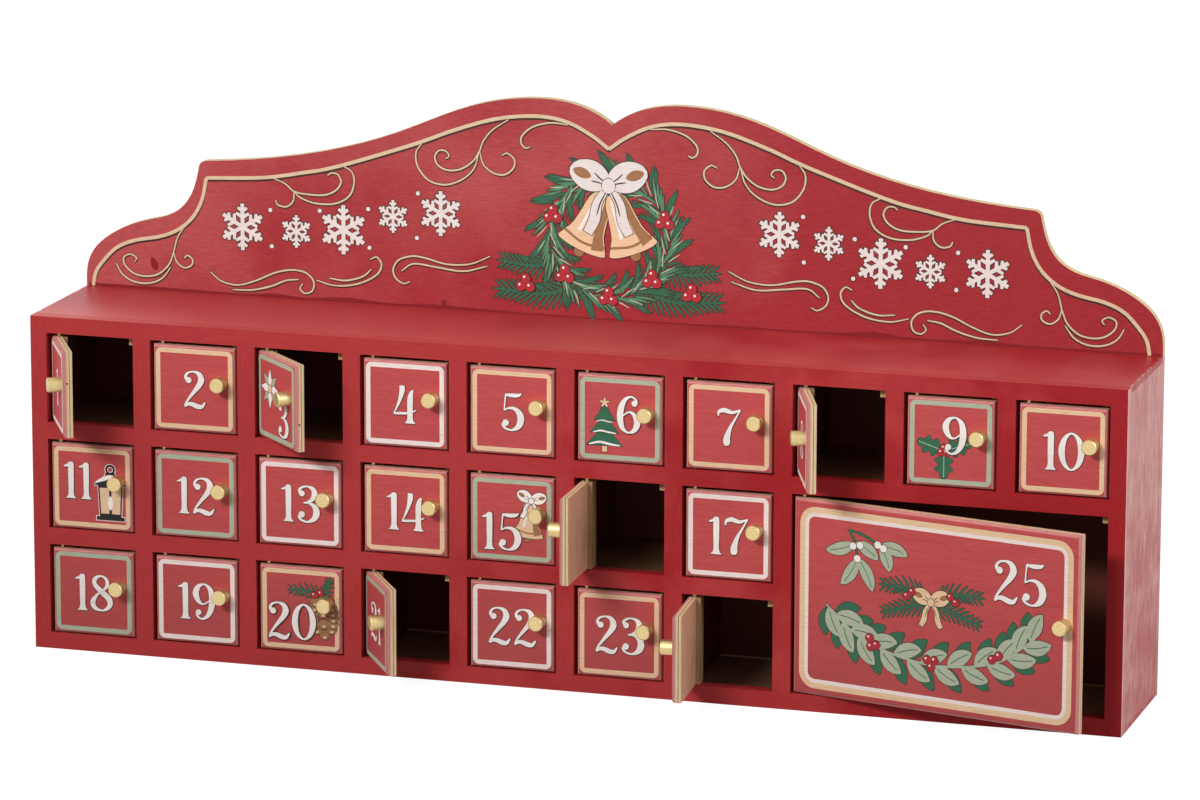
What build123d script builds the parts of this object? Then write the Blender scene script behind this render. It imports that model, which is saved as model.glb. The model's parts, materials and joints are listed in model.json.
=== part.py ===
"""Wooden advent calendar: a shallow case of small compartments behind hinged doors.

Millimetres, +Z up. The origin is the centre of the underside, and the doors face -Y.
"""

import os
from math import hypot

from build123d import *

# Grid of compartments: the large one takes the last columns of the lowest rows
columns = 10
rows = 3
large_columns = 3
large_rows = 2
opening_width = 38.5
opening_height = 38.2

# Face frame
stile_width = 7.5
end_stile_width = 7.0
rail_height = 7.0
frame_thickness = 6.0

# Case behind the frame
bay_depth = 58.5
deck_thickness = 2.5
end_thickness = 4.0
partition_thickness = 4.0
lap_clearance = 0.1
back_thickness = 4.0

# Doors: a thin leaf with a thicker rail down the back of its hinge edge
leaf_thickness = 4.0
hinge_rail_thickness = 2.0
hinge_rail_width = 6.5
leaf_round_over = 1.5
top_gap = 1.5
bottom_gap = 0.4
free_gap = 0.9
swing_clearance = 0.3

# Hinge pins, pressed into the rails and running free in the doors: wire with this many flats
pin_radius = 0.8
pin_sides = 8
pin_setback = 3.3
pin_seat = 3.0
pin_reach = 4.0
pin_running_clearance = 0.05
pin_seat_clearance = 0.02
pin_end_clearance = 0.3

# Knobs, turned with this many flats
knob_diameter = 6.2
knob_sides = 28
knob_length = 5.8
knob_chamfer = 0.4
knob_inset = 6.4
knob_rise = 3.3

# Stops that catch the free corner of each closed door
stop_width = 3.2
stop_height = 3.7
stop_depth = 6.0
stop_clearance = 0.1

# Header: heights above the case, distances in from its ends or out from its centre
lobe_foot = 4.0
lobe_middle = (9.5, 21.8)
lobe_end = (31.0, 30.8)
hollow_middle = (44.0, 37.0)
shoulder_side = (51.3, 54.0)
shoulder_top = (54.8, 57.0)
sweep_middle = (92.6, 74.3)
crest = (30.2, 91.7)
cusp_height = 82.2

# Degrees that each open door stands at, by its number
open_doors = {1: 61.0, 3: 45.0, 8: 69.0, 16: 88.0, 21: 57.0, 24: 85.0, 25: 13.0}

# Sizes that follow
column_pitch = opening_width + stile_width
row_pitch = opening_height + rail_height
small_columns = columns - large_columns
small_rows = rows - large_rows
width = 2 * end_stile_width + columns * column_pitch - stile_width
height = rail_height + rows * row_pitch
depth = frame_thickness + bay_depth + back_thickness
left = -width / 2
right = width / 2
front = -depth / 2
bay_front = front + frame_thickness
bay_back = bay_front + bay_depth
bay_middle = (bay_front + bay_back) / 2
floor = deck_thickness
ceiling = height - deck_thickness
hinge_thickness = leaf_thickness + hinge_rail_thickness
pivot_depth = hinge_thickness / 2
hinge_gap = hypot(pin_setback, pivot_depth) - pin_setback + swing_clearance
pivot_y = front + pivot_depth


def opening_left(column):
    return left + end_stile_width + column * column_pitch


def opening_bottom(row):
    """Row 0 is the top row."""
    return rail_height + (rows - 1 - row) * row_pitch


def block(x, y, z):
    """A box between two limits on each axis."""
    size = [high - low for low, high in (x, y, z)]
    centre = [(low + high) / 2 for low, high in (x, y, z)]
    return Pos(*centre) * Box(*size)


def pin(radius, bottom, top):
    """A length of pin wire about the Z axis, whose corners reach the radius."""
    return Pos(0, 0, bottom) * extrude(RegularPolygon(radius, pin_sides), top - bottom)


def pin_bore(radius, bottom, top):
    """A hole of the same section, whose flats clear the radius all round."""
    section = RegularPolygon(radius, pin_sides, major_radius=False)
    return Pos(0, 0, bottom) * extrude(section, top - bottom)


def save(name, solids):
    part = solids[0] if len(solids) == 1 else Compound(children=solids)
    part.label = name
    export_step(part, os.path.join("parts", name + ".step"))


class Bay:
    """One door's opening: its limits, its number and the line that its door turns on."""

    def __init__(self, number, column, row, wide=1, tall=1):
        self.number = number
        self.left = opening_left(column)
        self.right = self.left + wide * column_pitch - stile_width
        self.bottom = opening_bottom(row + tall - 1)
        self.top = opening_bottom(row) + opening_height
        self.pivot_x = self.left + hinge_gap + pin_setback
        self.hinge_line = Pos(self.pivot_x, pivot_y, 0)

    def place(self, piece):
        """Carries a piece drawn about the pivot, as if closed, to its place on the open door."""
        angle = open_doors.get(self.number, 0.0)
        return self.hinge_line * Rot(0, 0, -angle) * piece

    def name(self, kind):
        return f"{kind}_{self.number:02d}"


def all_bays():
    """Small doors row by row from the top left, then the large one."""
    bays = []
    for row in range(rows):
        for column in range(columns if row < small_rows else small_columns):
            bays.append(Bay(len(bays) + 1, column, row))
    bays.append(Bay(len(bays) + 1, small_columns, small_rows, large_columns, large_rows))
    return bays


def face_rails(bays):
    """Level strips between the end stiles, bored up and down for the hinge pins."""
    y = (front, bay_front)
    inner_left = left + end_stile_width
    rails = []
    for row in range(rows + 1):
        top = opening_bottom(row) + row_pitch
        crosses_large = small_rows < row < rows
        end = opening_left(small_columns) - stile_width if crosses_large else right - end_stile_width
        rails.append(block((inner_left, end), y, (top - rail_height, top)))
    seat_radius = pin_radius + pin_seat_clearance
    for bay in bays:
        low_seat = pin_bore(seat_radius, bay.bottom - pin_seat, bay.bottom)
        high_seat = pin_bore(seat_radius, bay.top, bay.top + pin_seat)
        rails = [rail - bay.hinge_line * low_seat - bay.hinge_line * high_seat for rail in rails]
    return rails


def face_stiles():
    """Full-height strips at both ends and short ones between the rails."""
    y = (front, bay_front)
    stiles = [
        block((left, left + end_stile_width), y, (0, height)),
        block((right - end_stile_width, right), y, (0, height)),
    ]
    for row in range(rows):
        beside_large = row >= small_rows
        for column in range(1, small_columns if beside_large else columns):
            x = opening_left(column)
            z = opening_bottom(row)
            stiles.append(block((x - stile_width, x), y, (z, z + opening_height)))
    x = opening_left(small_columns)
    tall_top = opening_bottom(small_rows) + opening_height
    stiles.append(block((x - stile_width, x), y, (rail_height, tall_top)))
    return stiles


def shelf_level(row):
    """Underside and top of the shelf under a row, behind the middle of its rail."""
    middle = opening_bottom(row) - rail_height / 2
    return middle - partition_thickness / 2, middle + partition_thickness / 2


def divider_span(column):
    """Left and right face of the divider to the left of a column, behind its stile."""
    middle = opening_left(column) - stile_width / 2
    return middle - partition_thickness / 2, middle + partition_thickness / 2


def lap(limits):
    """A slot that takes a crossing board."""
    low, high = limits
    return low - lap_clearance, high + lap_clearance


def shelves():
    """Level boards, slotted from the front where the upright ones cross them."""
    boards = []
    for row in range(rows - 1):
        beside_large = row >= small_rows
        end = divider_span(small_columns)[0] if beside_large else right - end_thickness
        z = shelf_level(row)
        board = block((left + end_thickness, end), (bay_front, bay_back), z)
        for column in range(1, small_columns if beside_large else small_columns + 1):
            board -= block(lap(divider_span(column)), (bay_front, bay_middle), lap(z))
        boards.append(board)
    return boards


def dividers():
    """Upright boards, slotted from the back where they cross the shelves."""
    boards = []
    for column in range(1, columns):
        tall = column <= small_columns
        bottom = floor if tall else shelf_level(small_rows - 1)[1]
        x = divider_span(column)
        board = block(x, (bay_front, bay_back), (bottom, ceiling))
        for row in range(rows - 1) if tall else ():
            meets_end = column == small_columns and row >= small_rows
            if not meets_end:
                board -= block(lap(x), (bay_middle, bay_back), lap(shelf_level(row)))
        boards.append(board)
    return boards


def back_board():
    """The whole back, with a header of lobes, hollows and two crests meeting in a cusp."""

    def from_end(point):
        return left + point[0], height + point[1]

    def from_centre(point):
        return -point[0], height + point[1]

    side = Line((left, 0), from_end((0, lobe_foot)))
    lobe = Spline(
        from_end((0, lobe_foot)), from_end(lobe_middle), from_end(lobe_end), tangents=[(0, 1), (5, 1)]
    )
    hollow = Spline(lobe @ 1, from_end(hollow_middle), from_end(shoulder_side), tangents=[(5, 1), (1, 6)])
    shoulder = Spline(hollow @ 1, from_end(shoulder_top), tangents=[(1, 6), (16, 1)])
    sweep = Spline(
        shoulder @ 1, from_centre(sweep_middle), from_centre(crest), tangents=[(16, 1), (1, 0)]
    )
    fall = Spline(sweep @ 1, (0, height + cusp_height), tangents=[(1, 0), (5, -4)])
    half = Curve() + [side, lobe, hollow, shoulder, sweep, fall]
    outline = half + mirror(half, Plane.YZ) + Line((left, 0), (right, 0))
    board = extrude(make_face(outline), back_thickness)
    return Pos(0, bay_back + back_thickness, 0) * Rot(90, 0, 0) * board


def door(bay):
    """A leaf with eased front edges, a rail down the back of its hinge edge and two pin bores."""
    low = bay.bottom + bottom_gap
    high = bay.top - top_gap
    hinge_edge = -pin_setback
    free_edge = bay.right - free_gap - bay.pivot_x
    leaf_back = leaf_thickness - pivot_depth
    leaf = block((hinge_edge, free_edge), (-pivot_depth, leaf_back), (low, high))
    leaf = fillet(leaf.faces().sort_by(Axis.Y)[0].edges(), leaf_round_over)
    rail = block((hinge_edge, hinge_edge + hinge_rail_width), (leaf_back, pivot_depth), (low, high))
    piece = leaf + rail
    running_radius = pin_radius + pin_running_clearance
    bore_depth = pin_reach + pin_end_clearance
    piece -= pin_bore(running_radius, low, low + bore_depth)
    piece -= pin_bore(running_radius, high - bore_depth, high)
    return bay.place(piece)


def knob_place(bay):
    """Where a knob meets the front of its leaf, with its own Z pointing out of the door."""
    x = bay.right - free_gap - knob_inset - bay.pivot_x
    z = (bay.bottom + bottom_gap + bay.top - top_gap) / 2 + knob_rise
    return Pos(x, -pivot_depth, z) * Rot(90, 0, 0)


def knob(bay):
    """A plain turned cylinder with a broken edge, flat on the leaf."""
    turned = extrude(RegularPolygon(knob_diameter / 2, knob_sides), knob_length)
    turned = chamfer(turned.faces().sort_by(Axis.Z)[-1].edges(), knob_chamfer)
    return bay.place(knob_place(bay) * turned)


def hinge_pins(bays):
    """One pin below and one above each door, each across the gap between rail and leaf."""
    pins = []
    for bay in bays:
        low_pin = pin(pin_radius, bay.bottom - pin_seat, bay.bottom + bottom_gap + pin_reach)
        high_pin = pin(pin_radius, bay.top - top_gap - pin_reach, bay.top + pin_seat)
        pins += [bay.hinge_line * low_pin, bay.hinge_line * high_pin]
    return pins


def door_stops(bays):
    """Small blocks glued into the top right corner of each opening, behind the leaf."""
    y = front + leaf_thickness + stop_clearance
    return [
        block((bay.right - stop_width, bay.right), (y, y + stop_depth), (bay.top - stop_height, bay.top))
        for bay in bays
    ]


os.makedirs("parts", exist_ok=True)
bays = all_bays()
for bay in bays:
    save(bay.name("door"), [door(bay)])
    save(bay.name("knob"), [knob(bay)])
save("hinge_pins", hinge_pins(bays))
save("door_stops", door_stops(bays))
save("face_rails", face_rails(bays))
save("face_stiles", face_stiles())
save("shelves", shelves())
save("dividers", dividers())
save("back_board", [back_board()])
save("top_board", [block((left, right), (bay_front, bay_back), (ceiling, height))])
save("bottom_board", [block((left, right), (bay_front, bay_back), (0, floor))])
ends = ((left, left + end_thickness), (right - end_thickness, right))
save("end_panels", [block(x, (bay_front, bay_back), (floor, ceiling)) for x in ends])
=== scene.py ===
"""The looks of a wooden advent calendar: satin red paint, thin washes, printed doors and brass knobs.

Metres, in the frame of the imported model. Prints are drawn in millimetres on a flat side.
"""

import json
from math import cos, pi, radians, sin

import bpy
import numpy as np
from mathutils import Matrix, Vector


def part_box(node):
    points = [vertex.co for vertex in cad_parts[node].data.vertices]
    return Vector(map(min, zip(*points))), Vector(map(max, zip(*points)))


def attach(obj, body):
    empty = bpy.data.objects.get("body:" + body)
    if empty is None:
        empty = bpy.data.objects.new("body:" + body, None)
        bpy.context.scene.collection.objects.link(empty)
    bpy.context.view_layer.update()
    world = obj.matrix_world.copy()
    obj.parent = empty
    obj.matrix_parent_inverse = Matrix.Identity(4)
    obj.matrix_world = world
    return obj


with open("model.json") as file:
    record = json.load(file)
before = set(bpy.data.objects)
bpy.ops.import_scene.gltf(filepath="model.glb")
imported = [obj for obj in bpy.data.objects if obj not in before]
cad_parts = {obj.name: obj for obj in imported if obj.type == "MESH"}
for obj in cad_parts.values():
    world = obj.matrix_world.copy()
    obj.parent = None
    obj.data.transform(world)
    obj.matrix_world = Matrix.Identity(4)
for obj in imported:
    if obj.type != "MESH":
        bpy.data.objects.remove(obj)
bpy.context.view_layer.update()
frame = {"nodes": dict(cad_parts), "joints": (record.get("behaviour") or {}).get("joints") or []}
mm = 0.001

# Prints on the doors, in millimetres
border_inset = 1.2
border_width = 1.95
border_corner = 2.4
figure_height = 15.8
outline_width = 0.28
outline_shift = 0.12
large_border_inset = 2.9
large_border_width = 2.4
large_border_corner = 7.0
large_lining_width = 1.6
large_figure_height = 17.5
large_number_place = (101.6, 58.8)
mistletoe_place = (25.0, 71.0)
boughs_place = (62.5, 45.8)
leaf_thickness = 4.0
nail_hole = 0.42
nail_depth = 1.8
# How far most figures are drawn out across, and the gap between two as a share of their height
figure_stretch = 1.2
figure_gap = 0.05

# Lines on the header, and its wreath, in millimetres
ribbon_half = 0.75
ribbon_dark_half = 0.62
ribbon_dark_shift = (0.2, -1.0)
scroll_half = 0.38
scroll_outline = 0.28
scroll_dark_half = 0.5
scroll_dark_shift = (0.3, -0.48)
header_print_shift = (-1.3, -0.4)
wreath_radius = 25.5
wreath_height = 35.5

# Thickness of a pass of ink, the step between strokes that cross, the count of steps before they
# start again, and the ink's hold on the wood, in millimetres
ink_pass = 0.012
stroke_step = 0.001
steps_in_turn = 24
ink_seat = 0.003


# Sides that take prints


class Side:
    """A flat upright side: its body and slot, its lower left corner, the way across it and its size."""

    def __init__(self, body, slot, corner, across, width, height):
        self.body = body
        self.slot = slot
        self.corner = np.array(corner)
        self.across = np.array(across)
        self.up = np.array((0.0, 0.0, 1.0))
        self.out = np.cross(self.across, self.up)
        self.width = width
        self.height = height

    def place(self, points):
        """Carries points in millimetres across, up and out of the side to metres in the frame."""
        return self.corner + mm * points @ np.stack([self.across, self.up, self.out])


class Door(Side):
    """A door's front, found from its hinge: the pivot, the angle it stands at and its leaf."""

    def __init__(self, joint):
        self.name = joint["child"]
        self.number = int(self.name[-2:])
        self.pivot = np.array(joint["pos_m"])
        self.angle = radians(-joint["range_deg"][0])
        across = np.array((cos(self.angle), -sin(self.angle), 0.0))
        self.inward = np.array((sin(self.angle), cos(self.angle), 0.0))
        ways = np.stack([across, self.inward, (0.0, 0.0, 1.0)])
        points = (node_points(self.name) - self.pivot) @ ways.T
        low, high = points.min(0), points.max(0)
        self.front = low[1]
        width, _, height = (high - low) / mm
        super().__init__(self.name, self.name + "_wood", self.pivot + low @ ways, across, width, height)

    def free_edge(self):
        """The narrow side away from the hinge."""
        corner = self.corner + mm * self.width * self.across
        return Side(self.body, self.slot, corner, self.inward, leaf_thickness, self.height)


def node_points(name):
    """A CAD node's points, as rows in metres."""
    mesh = frame["nodes"][name].data
    points = np.empty(3 * len(mesh.vertices), np.float32)
    mesh.vertices.foreach_get("co", points)
    return points.reshape(-1, 3).astype(float)


# Strokes: rows of place across, place up and half width, in millimetres


def smooth(rows, count=40):
    """A Catmull-Rom run through a few rows of numbers. Rows that end where they start are a loop."""
    rows = np.asarray(rows, float)
    loop = np.allclose(rows[0], rows[-1])
    before = rows[-2] if loop else 2 * rows[0] - rows[1]
    after = rows[1] if loop else 2 * rows[-1] - rows[-2]
    rows = np.vstack([before, rows, after])
    spans = len(rows) - 3
    along = np.linspace(0, spans, count)
    start = np.minimum(along.astype(int), spans - 1)
    t = (along - start)[:, None]
    a, b, c, d = rows[start], rows[start + 1], rows[start + 2], rows[start + 3]
    bend = a - 2.5 * b + 2 * c - d / 2
    twist = 1.5 * (b - c) + (d - a) / 2
    return b + t * (c - a) / 2 + t**2 * bend + t**3 * twist


def pen(points, half, ends=1.0, count=40):
    """A line through points: its half width falls on an ellipse to a share of it at both ends."""
    swell = np.sqrt(1 - np.linspace(-1, 1, count) ** 2)
    return np.column_stack([smooth(points, count), half * (ends + (1 - ends) * swell)])


def disc(x, y, radius, tall=1.0):
    """A round spot: a run along its level diameter with the half chord as half width."""
    turn = np.linspace(0.08, pi - 0.08, 17)
    return np.column_stack([x - radius * np.cos(turn), 0 * turn + y, tall * radius * np.sin(turn)])


def blade(length, half, bend=0.0, blunt=0.8):
    """A leaf from the origin along +X: its half width is a power of a sine, its rib a parabola."""
    u = np.linspace(0.01, 0.99, 15)
    return np.column_stack([length * u, bend * 4 * u * (1 - u), half * np.sin(pi * u) ** blunt])


def spined(length, half):
    """A holly leaf along +X: a sine half width, pinched between three pairs of spines."""
    u = np.linspace(0.01, 0.99, 43)
    pinch = 0.5 + 0.5 * np.abs(np.cos(3 * pi * u)) ** 1.3
    return np.column_stack([length * u, 0 * u, half * np.sin(pi * u) ** 0.55 * pinch])


def moved(strokes, x, y, turn=0.0, size=1.0):
    """Strokes made larger, turned by degrees and moved."""
    c, s = size * cos(radians(turn)), size * sin(radians(turn))
    change = np.array([[c, s, 0], [-s, c, 0], [0, 0, size]])
    return [stroke @ change + (x, y, 0) for stroke in strokes]


def moved_layers(layers, x, y, turn=0.0, size=1.0):
    """Layers of ink whose strokes are moved alike."""
    return [(ink, moved(strokes, x, y, turn, size)) for ink, strokes in layers]


def mirrored(strokes, middle=0.0):
    """Strokes reflected about an upright line."""
    return [stroke[::-1] * (-1, 1, 1) + (2 * middle, 0, 0) for stroke in strokes]


def both_halves(strokes, middle=0.0):
    """Strokes and their reflections about an upright line."""
    return strokes + mirrored(strokes, middle)


def widened(strokes, extra):
    """Strokes made wider, and longer at both open ends, to show round themselves as an outline."""
    wide = []
    for stroke in strokes:
        stroke = stroke + (0, 0, extra)
        if not np.allclose(stroke[0], stroke[-1]):
            for end, inner in ((0, 1), (-1, -2)):
                away = stroke[end, :2] - stroke[inner, :2]
                stroke[end, :2] += extra * away / np.linalg.norm(away)
        wide.append(stroke)
    return wide


def rib(leaves, half):
    """A thin line along the middle of each leaf."""
    return [leaf[2:-2] * (1, 1, 0) + (0, 0, half) for leaf in leaves]


def rounded_frame(left, bottom, right, top, corner, half):
    """A loop along a rectangle with quarter-circle corners."""
    turn = np.linspace(0, pi / 2, 7)
    arc = corner * np.column_stack([np.cos(turn), np.sin(turn)])
    quarter = np.array([[0, 1], [-1, 0]])
    centres = (
        (right - corner, top - corner),
        (left + corner, top - corner),
        (left + corner, bottom + corner),
        (right - corner, bottom + corner),
    )
    arcs = [arc @ np.linalg.matrix_power(quarter, k) + centre for k, centre in enumerate(centres)]
    path = np.vstack(arcs + [arcs[0][:1]])
    return np.column_stack([path, np.full(len(path), half)])


# Pieces of ink


def put(name, data):
    """A new object in the scene, of a mesh, a lamp or a camera."""
    piece = bpy.data.objects.new(name, data)
    bpy.context.scene.collection.objects.link(piece)
    return piece


def put_mesh(name, points, faces, material):
    """A new piece of points and faces, in one material."""
    mesh = bpy.data.meshes.new(name)
    mesh.from_pydata(points, [], faces)
    mesh.materials.append(material)
    return put(name, mesh)


def stripe(stroke, low, high):
    """Corners and faces of a flat stripe: the path's left and right, a half width away, at two levels.

    The top rises by half a step along the path, so that a stripe never lies level on itself.
    """
    loop = np.allclose(stroke[0], stroke[-1])
    run = stroke[:-1] if loop else stroke
    path = run[:, :2]
    along = np.roll(path, -1, 0) - np.roll(path, 1, 0) if loop else np.gradient(path, axis=0)
    along = along / np.linalg.norm(along, axis=1, keepdims=True)
    side = run[:, 2:] * along[:, ::-1] * (-1, 1)
    count = len(run)
    under = np.full((count, 1), low)
    over = high + stroke_step * np.linspace(0, 0.5, count)[:, None]
    edges = [(path + side, under), (path - side, under), (path - side, over), (path + side, over)]
    corners = np.stack([np.hstack(edge) for edge in edges], 1).reshape(-1, 3)
    here = np.arange(count if loop else count - 1)[:, None]
    there = (here + 1) % count
    first = np.arange(4)
    second = (first + 1) % 4
    faces = [4 * here + first, 4 * there + first, 4 * there + second, 4 * here + second]
    faces = np.stack(faces, -1).reshape(-1, 4)
    if not loop:
        ends = [[0, 1, 2, 3], [4 * count - 1, 4 * count - 2, 4 * count - 3, 4 * count - 4]]
        faces = np.vstack([faces, ends])
    return corners, faces


def print_on(side, name, layers):
    """Prints inks one over another: each layer is an ink and its strokes, and becomes one thin piece.

    A layer lies a pass over the last one. Its strokes lie a step over each other, in turns of a few.
    """
    top = 0.0
    for number, (ink, strokes) in enumerate(layers):
        top += ink_pass
        corners, faces, used = [], [], 0
        for k, stroke in enumerate(strokes):
            points, quads = stripe(stroke, ink_seat, top + stroke_step * (k % steps_in_turn))
            corners.append(points)
            faces.append(quads + used)
            used += len(points)
        top += stroke_step * min(len(strokes), steps_in_turn)
        places = side.place(np.vstack(corners)).tolist()
        piece = put_mesh(f"{name}_{number}_{ink}", places, np.vstack(faces).tolist(), inks[ink])
        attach(piece, side.body)


def outlined(ink, strokes, edge=outline_width):
    """Strokes in an ink, over the same strokes in the dark one, wider by an edge."""
    return [("dark", widened(strokes, edge)), (ink, strokes)]


# Figures: pen rows of place and half width, and round terminals, in hundredths of their height


figure_pens = {
    "0": [[(48, 50, 8.5), (42, 82, 6), (27, 97, 2.5), (12, 82, 6), (6, 50, 8.5), (12, 18, 6),
           (27, 3, 2.5), (42, 18, 6), (48, 50, 8.5)]],
    "1": [[(22, 99, 5), (22, 90, 7.8), (22, 50, 7.8), (22, 12, 7.8), (22, 0, 15)],
          [(24, 97, 3), (12, 89, 3.5), (2, 86, 1.5)]],
    "2": [[(13, 74, 6), (7, 82, 4), (12, 93, 3), (25, 97.5, 2.5), (38, 92, 6), (43, 77, 8.5), (37, 60, 7),
           (23, 39, 4.5), (10, 18, 2.8), (5, 7, 2)],
          [(4, 3, 3), (12, 10, 4.5), (22, 10, 5.8), (34, 5, 6.5), (44, 5, 5), (52, 17, 1.6)]],
    "3": [[(12, 79, 6), (8, 87, 4), (15, 95, 3), (27, 97.5, 2.5), (39, 91, 6), (43, 78, 8), (37, 63, 5.5),
           (26, 55.5, 2.5), (17, 53, 1.8)],
          [(19, 53.5, 2), (33, 52, 3.5), (44, 42, 7.5), (47, 27, 9), (41, 11, 7), (27, 2.5, 2.7),
           (13, 6, 3), (7, 15, 4), (12, 22, 5)]],
    "4": [[(24, 100, 7), (24, 86, 7.2), (18, 62, 4.5), (9, 40, 2.5), (2, 26, 1.6)],
          [(1, 25, 2.6), (20, 26, 3.4), (42, 28, 2.8), (63, 36, 1.4)],
          [(55, 90, 1.4), (49, 80, 5.5), (46, 60, 7.8), (46, 14, 7.8), (46, 0, 14.5)]],
    "5": [[(12, 95.5, 2.6), (26, 94, 5), (40, 95, 4.8), (49, 100, 1.4)],
          [(13, 96, 2.2), (11, 74, 1.8), (10, 53, 2.2)],
          [(10, 54, 1.8), (20, 60, 2.6), (33, 59, 4.8), (44, 47, 8.2), (47, 30, 9), (41, 12, 7),
           (27, 2.5, 2.7), (13, 6, 3), (7, 15, 4), (12, 21, 5)]],
    "6": [[(44, 80, 5), (44, 90, 3.2), (34, 97.5, 2.5), (21, 90, 5), (12, 70, 7.8), (9, 45, 8.5),
           (12, 20, 7), (20, 7, 4), (29, 3, 2.5), (41, 10, 6), (47, 29, 8.5), (41, 49, 6), (30, 57, 2.5),
           (17, 48, 2), (10, 36, 2)]],
    "7": [[(3, 78, 1.4), (5, 90, 4), (17, 94.5, 6), (34, 90, 4.5), (52, 97, 2)],
          [(52, 98, 1.8), (42, 76, 2.5), (30, 50, 4.5), (23, 25, 8), (22, 10, 9.2), (23, 2, 5)]],
    "8": [[(27, 97, 2.5), (13, 89, 5.5), (12, 73, 6), (27, 55, 7.5), (44, 37, 8), (47, 20, 7), (38, 7, 4),
           (26, 3, 2.5), (11, 10, 6), (7, 26, 7), (17, 45, 3.5), (30, 57, 2.5), (41, 72, 5),
           (39, 89, 4.5), (27, 97, 2.5)]],
}
figure_balls = {
    "2": [(14, 74.5, 8.2)],
    "3": [(13.5, 78, 8), (13, 21.5, 8.6)],
    "5": [(13, 21, 8.6)],
    "6": [(41, 80, 7.8)],
}
narrow_figures = {"1": 0.38, "4": 0.64}
usual_width = 0.54 * figure_stretch


def figure(character):
    """One figure's strokes. A nine is a six turned upside down, and most figures are drawn out wide."""
    if character == "9":
        return moved(figure("6"), usual_width, 1.0, turn=180)
    stretch = 1.0 if character in narrow_figures else figure_stretch
    size = np.array((stretch, 1, 1)) / 100
    strokes = [smooth(rows, 8 * len(rows)) * size for rows in figure_pens[character]]
    return strokes + [disc(*(size * ball)) for ball in figure_balls.get(character, ())]


def number_print(number, x, y, height):
    """A number in white with a thin dark outline, heavier below and to the right, about a point."""
    strokes, reach = [], -figure_gap
    for character in str(number):
        strokes += moved(figure(character), reach + figure_gap, 0)
        reach += figure_gap + narrow_figures.get(character, usual_width)
    strokes = moved(strokes, x - height * reach / 2, y - height / 2, size=height)
    outline = moved(widened(strokes, outline_width), outline_shift, -outline_shift)
    return [("dark", outline), ("white", strokes)]


# Motifs: strokes, or layers of ink and strokes, about their own origin


def snowflake(radius, half):
    """Six arms with two pairs of barbs each."""
    arm = [np.array([(0, 0, half), (radius, 0, half)])]
    for share, reach in ((0.42, 0.34), (0.7, 0.24)):
        for way in (60, -60):
            barb = np.array([(0, 0, half), (reach * radius, 0, 0.7 * half)])
            arm += moved([barb], share * radius, 0, turn=way)
    return [stroke for k in range(6) for stroke in moved(arm, 0, 0, turn=60 * k + 30)]


def needles(rows, length, half):
    """Fir needles: each row is a place, a heading in degrees and a share of the length."""
    needle = np.array([(0, 0, 0.6 * half), (0.5 * length, 0.03 * length, half), (length, 0, 0.3 * half)])
    return [moved([needle * (share, share, 1)], x, y, turn=heading)[0] for x, y, heading, share in rows]


def twig(points, pairs, length, half, lean=40):
    """Fir needles in pairs along a curve, shorter towards its tip, and the stem between them."""
    path = smooth(points, 4 * pairs + 1)
    heading = np.degrees(np.arctan2(*np.gradient(path, axis=0).T[::-1]))
    share = np.linspace(1.0, 0.55, len(path))
    rows = np.column_stack([path, heading, share])[::4]
    leaning = [rows + (0, 0, way, 0) for way in (lean, -lean)]
    tip = np.array([(*path[-1], heading[-1], 0.5)])
    return [pen(points, 1.2 * half, 0.5, 20)] + needles(np.vstack(leaning + [tip]), length, half)


def ring_of_needles(radius, count, length, half, lean):
    """Needles round a circle, leaning out and in by turns; a golden-ratio run varies them evenly."""
    k = np.arange(count)
    turn = 360 * k / count
    vary = (0.618 * k) % 1
    way = np.where(k % 2, 1, -1)
    reach = radius + 3.0 * way * (vary - 0.2)
    heading = turn + 90 - way * lean * (0.6 + 0.8 * vary)
    share = 0.8 + 0.35 * ((0.382 * k) % 1)
    places = reach[:, None] * np.column_stack([np.cos(np.radians(turn)), np.sin(np.radians(turn))])
    return needles(np.column_stack([places, heading, share]), length, half)


def hung_bell(height, half):
    """A bell hanging from the origin: its half width flares along its axis to an oval mouth."""
    rows = [(0.0, 0.12), (0.05, 0.3), (0.18, 0.46), (0.45, 0.55), (0.7, 0.66), (0.86, 0.84), (1.0, 1.0)]
    flare = smooth(rows, 28) * (-height, half)
    down, wide = flare.T
    shell = [disc(0, -height, half, 0.2), np.column_stack([0 * wide, down, wide])]
    shade = np.column_stack([0.66 * wide, down, 0.26 * wide])[5:-1]
    shine = np.column_stack([-0.45 * wide, down, 0.09 * wide])[7:-7]
    mouth = [(-0.86 * half, -0.87 * height), (0, -0.95 * height), (0.86 * half, -0.87 * height)]
    rim = pen(mouth, 0.05 * half)
    clapper = [disc(0, -1.12 * height, 0.2 * half)]
    layers = outlined("brown", clapper) + outlined("tan", shell)
    return layers + [("brown", [shade, rim]), ("white", [shine])]


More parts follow.
